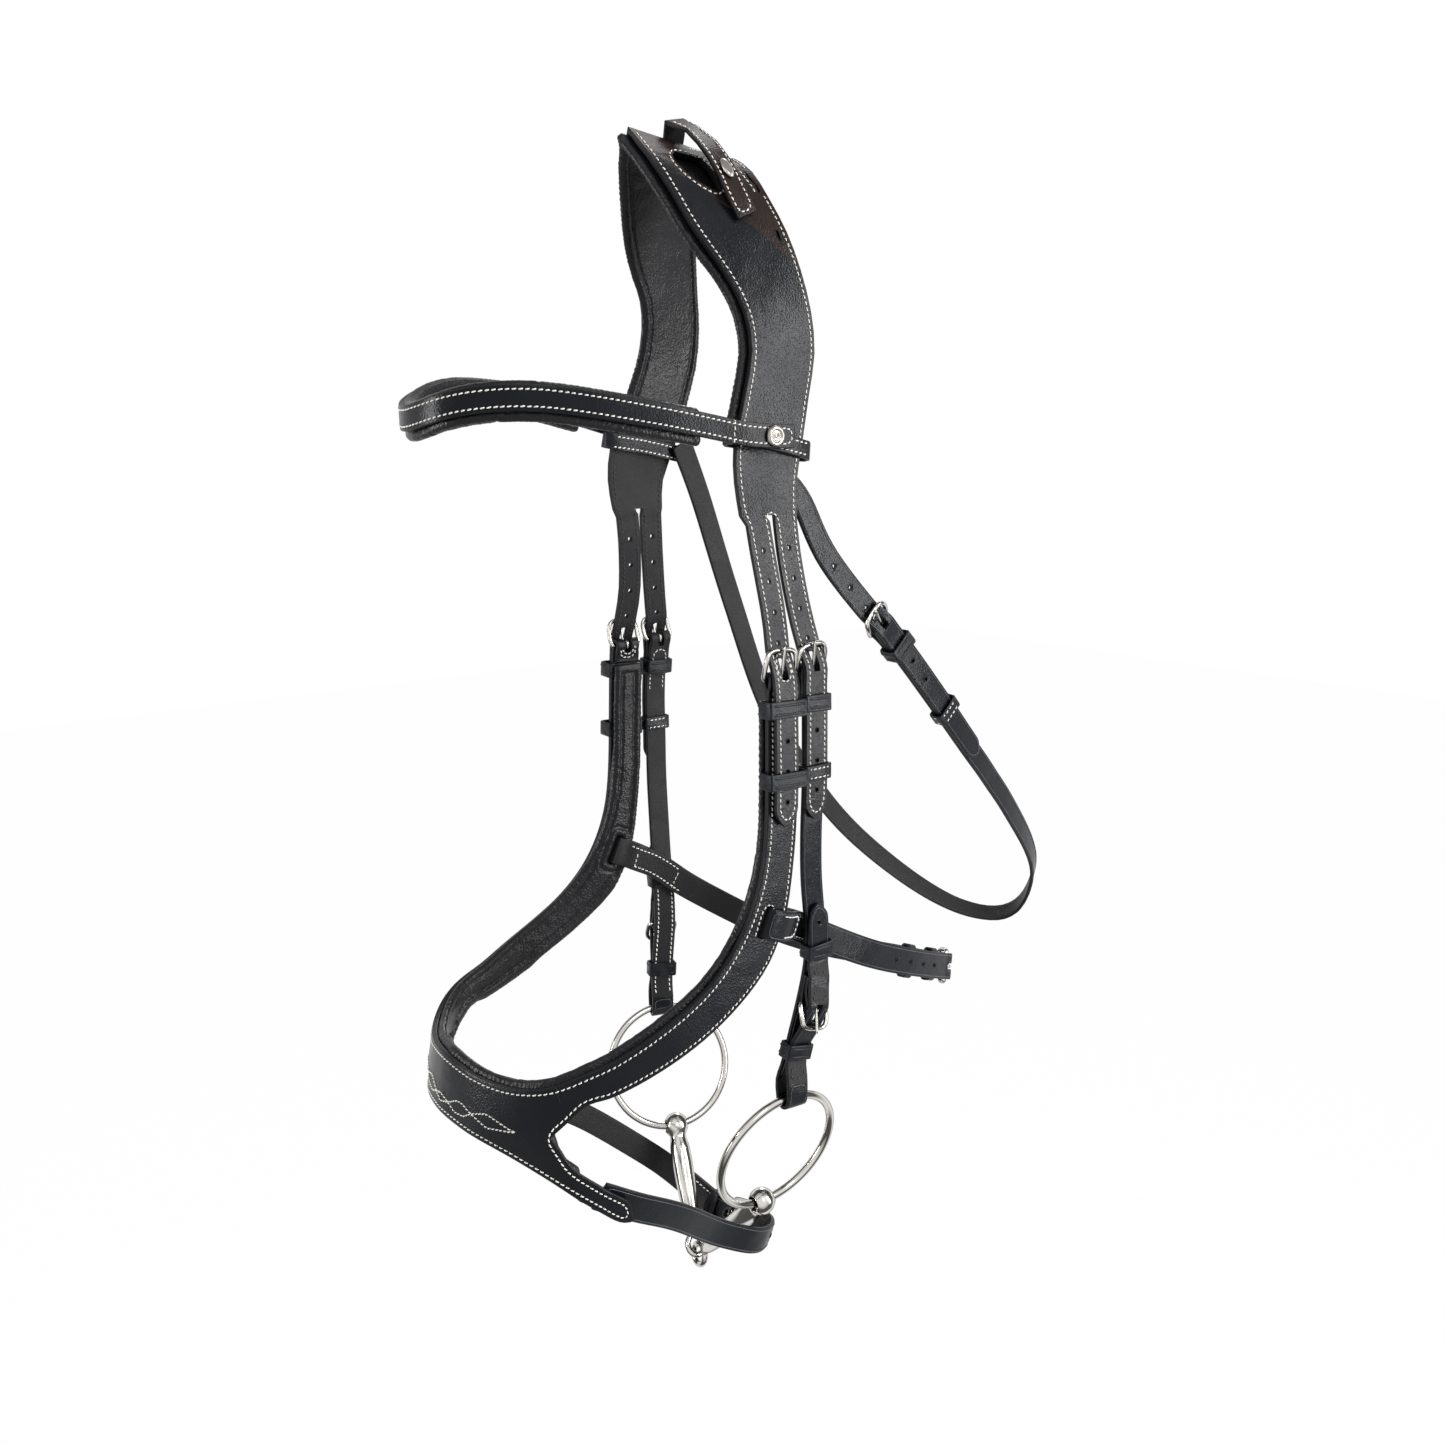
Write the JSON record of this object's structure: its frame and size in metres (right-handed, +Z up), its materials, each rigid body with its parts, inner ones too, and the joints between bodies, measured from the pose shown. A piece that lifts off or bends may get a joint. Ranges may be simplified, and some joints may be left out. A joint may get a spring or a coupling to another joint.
{
  "type": "horse bridle",
  "caption": "Horse bridle with shaped padded headpiece, browband, anatomical drop-front noseband, throatlatch, jaw and flash straps and a jointed loose ring snaffle.",
  "frame": {"origin": "middle of the crown's underside, where its padding rests on the poll", "axes": "the horse looks along -Y, its left (near) side is +X, +Z up"},
  "size_m": [0.1668, 0.4307, 0.6425],
  "materials": {
    "leather": "smooth dyed, black",
    "lining": "soft grained, black",
    "steel": "polished stainless steel"
  },
  "bodies": {
    "bridle": {"browband": "leather", "browband_loop_far": "leather", "browband_loop_near": "leather", "browband_padding": "lining", "browband_snap_far": "steel", "browband_snap_near": "steel", "cheek_bit_far_buckle": "steel", "cheek_bit_keeper_lower_far": "leather", "cheek_bit_keeper_lower_near": "leather", "cheek_bit_keeper_upper_far": "leather", "cheek_bit_keeper_upper_near": "leather", "cheek_bit_near_buckle": "steel", "cheek_strap_far": "leather", "cheek_strap_near": "leather", "cheek_top_far_buckle": "steel", "cheek_top_keeper_far": "leather", "cheek_top_keeper_near": "leather", "cheek_top_near_buckle": "steel", "flash_buckle": "steel", "flash_keeper": "leather", "flash_strap_far": "leather", "flash_strap_near": "leather", "headpiece": "leather", "headpiece_padding": "lining", "jaw_buckle": "steel", "jaw_keeper": "leather", "jaw_strap_far": "leather", "jaw_strap_near": "leather", "noseband": "leather", "noseband_far_buckle": "steel", "noseband_keeper_lower_far": "leather", "noseband_keeper_lower_near": "leather", "noseband_keeper_upper_far": "leather", "noseband_keeper_upper_near": "leather", "noseband_near_buckle": "steel", "noseband_padding": "lining", "poll_strap": "leather", "poll_stud": "steel", "throat_billet": "leather", "throat_buckle": "steel", "throat_keeper": "leather", "throat_strap": "leather"},
    "near_ring": {"bit_ring_near": "steel"},
    "near_cannon": {"cannon_near": "steel"},
    "far_ring": {"bit_ring_far": "steel"},
    "far_cannon": {"cannon_far": "steel"},
    "noseband_near_prong": {"noseband_near_prong": "steel"},
    "noseband_far_prong": {"noseband_far_prong": "steel"},
    "cheek_top_near_prong": {"cheek_top_near_prong": "steel"},
    "cheek_top_far_prong": {"cheek_top_far_prong": "steel"},
    "cheek_bit_near_prong": {"cheek_bit_near_prong": "steel"},
    "cheek_bit_far_prong": {"cheek_bit_far_prong": "steel"},
    "throat_prong": {"throat_prong": "steel"},
    "jaw_prong": {"jaw_prong": "steel"},
    "flash_prong": {"flash_prong": "steel"},
    "cheek_runner_near": {"cheek_runner_near": "leather"},
    "cheek_runner_far": {"cheek_runner_far": "leather"},
    "throat_runner": {"throat_runner": "leather"},
    "jaw_runner": {"jaw_runner": "leather"}
  },
  "joints": [
    {"name": "near_ring_turn", "type": "hinge", "parent": "bridle", "child": "near_ring", "pos_m": [0.05976, 0.01473, -0.52089], "axis": [0.9646, -0.0216, -0.2627], "continuous": true},
    {"name": "far_ring_turn", "type": "hinge", "parent": "bridle", "child": "far_ring", "pos_m": [-0.05763, 0.02043, -0.52126], "axis": [-0.8953, 0.3042, -0.3255], "continuous": true},
    {"name": "near_cannon_swing", "type": "hinge", "parent": "bridle", "child": "near_cannon", "pos_m": [0.04992, 0.01178, -0.55675], "axis": [0.9982, -0.0594, -0.0024], "range_deg": [-3, 3]},
    {"name": "far_cannon_swing", "type": "hinge", "parent": "bridle", "child": "far_cannon", "pos_m": [-0.04582, 0.01748, -0.55651], "axis": [0.9982, -0.0594, -0.0024], "range_deg": [-3, 3]},
    {"name": "noseband_near_prong_lift", "type": "hinge", "parent": "bridle", "child": "noseband_near_prong", "pos_m": [0.07218, 0.00655, -0.2519], "axis": [0, 0.9997, 0.0264], "range_deg": [0, 5]},
    {"name": "noseband_far_prong_lift", "type": "hinge", "parent": "bridle", "child": "noseband_far_prong", "pos_m": [-0.07218, 0.00655, -0.2519], "axis": [0, -0.9997, -0.0264], "range_deg": [0, 5]},
    {"name": "cheek_top_near_prong_lift", "type": "hinge", "parent": "bridle", "child": "cheek_top_near_prong", "pos_m": [0.07013, 0.02836, -0.24982], "axis": [0, 0.9997, 0.0249], "range_deg": [0, 5]},
    {"name": "cheek_top_far_prong_lift", "type": "hinge", "parent": "bridle", "child": "cheek_top_far_prong", "pos_m": [-0.07013, 0.02836, -0.24982], "axis": [0, -0.9997, -0.0249], "range_deg": [0, 5]},
    {"name": "cheek_bit_near_prong_lift", "type": "hinge", "parent": "bridle", "child": "cheek_bit_near_prong", "pos_m": [0.07314, 0.02892, -0.43202], "axis": [0, -0.974, 0.2265], "range_deg": [0, 5]},
    {"name": "cheek_bit_far_prong_lift", "type": "hinge", "parent": "bridle", "child": "cheek_bit_far_prong", "pos_m": [-0.07302, 0.02837, -0.43217], "axis": [0.2689, 0.9603, -0.0748], "range_deg": [0, 5]},
    {"name": "throat_prong_lift", "type": "hinge", "parent": "bridle", "child": "throat_prong", "pos_m": [0.06606, 0.0793, -0.23221], "axis": [0, 0.6492, 0.7606], "range_deg": [0, 5]},
    {"name": "jaw_prong_lift", "type": "hinge", "parent": "bridle", "child": "jaw_prong", "pos_m": [0.04153, 0.1643, -0.4577], "axis": [-0.2125, 0.309, 0.927], "range_deg": [0, 5]},
    {"name": "flash_prong_lift", "type": "hinge", "parent": "bridle", "child": "flash_prong", "pos_m": [0.00123, 0.02649, -0.59792], "axis": [-0.3213, 0.4505, 0.833], "range_deg": [0, 5]},
    {"name": "cheek_runner_near_slide", "type": "slide", "parent": "bridle", "child": "cheek_runner_near", "axis": [-0.0104, 0.005, -0.9999], "range_m": [-0.003, 0.003]},
    {"name": "cheek_runner_far_slide", "type": "slide", "parent": "bridle", "child": "cheek_runner_far", "axis": [0.0104, 0.005, -0.9999], "range_m": [-0.003, 0.003]},
    {"name": "throat_runner_slide", "type": "slide", "parent": "bridle", "child": "throat_runner", "axis": [-0.0999, 0.7004, -0.7067], "range_m": [-0.003, 0.003]},
    {"name": "jaw_runner_slide", "type": "slide", "parent": "bridle", "child": "jaw_runner", "axis": [0.2395, -0.8878, 0.3931], "range_m": [-0.003, 0.003]}
  ],
  "couplings": [
    {"joint": "far_cannon_swing", "follows": "near_cannon_swing", "ratio": 1}
  ]
}
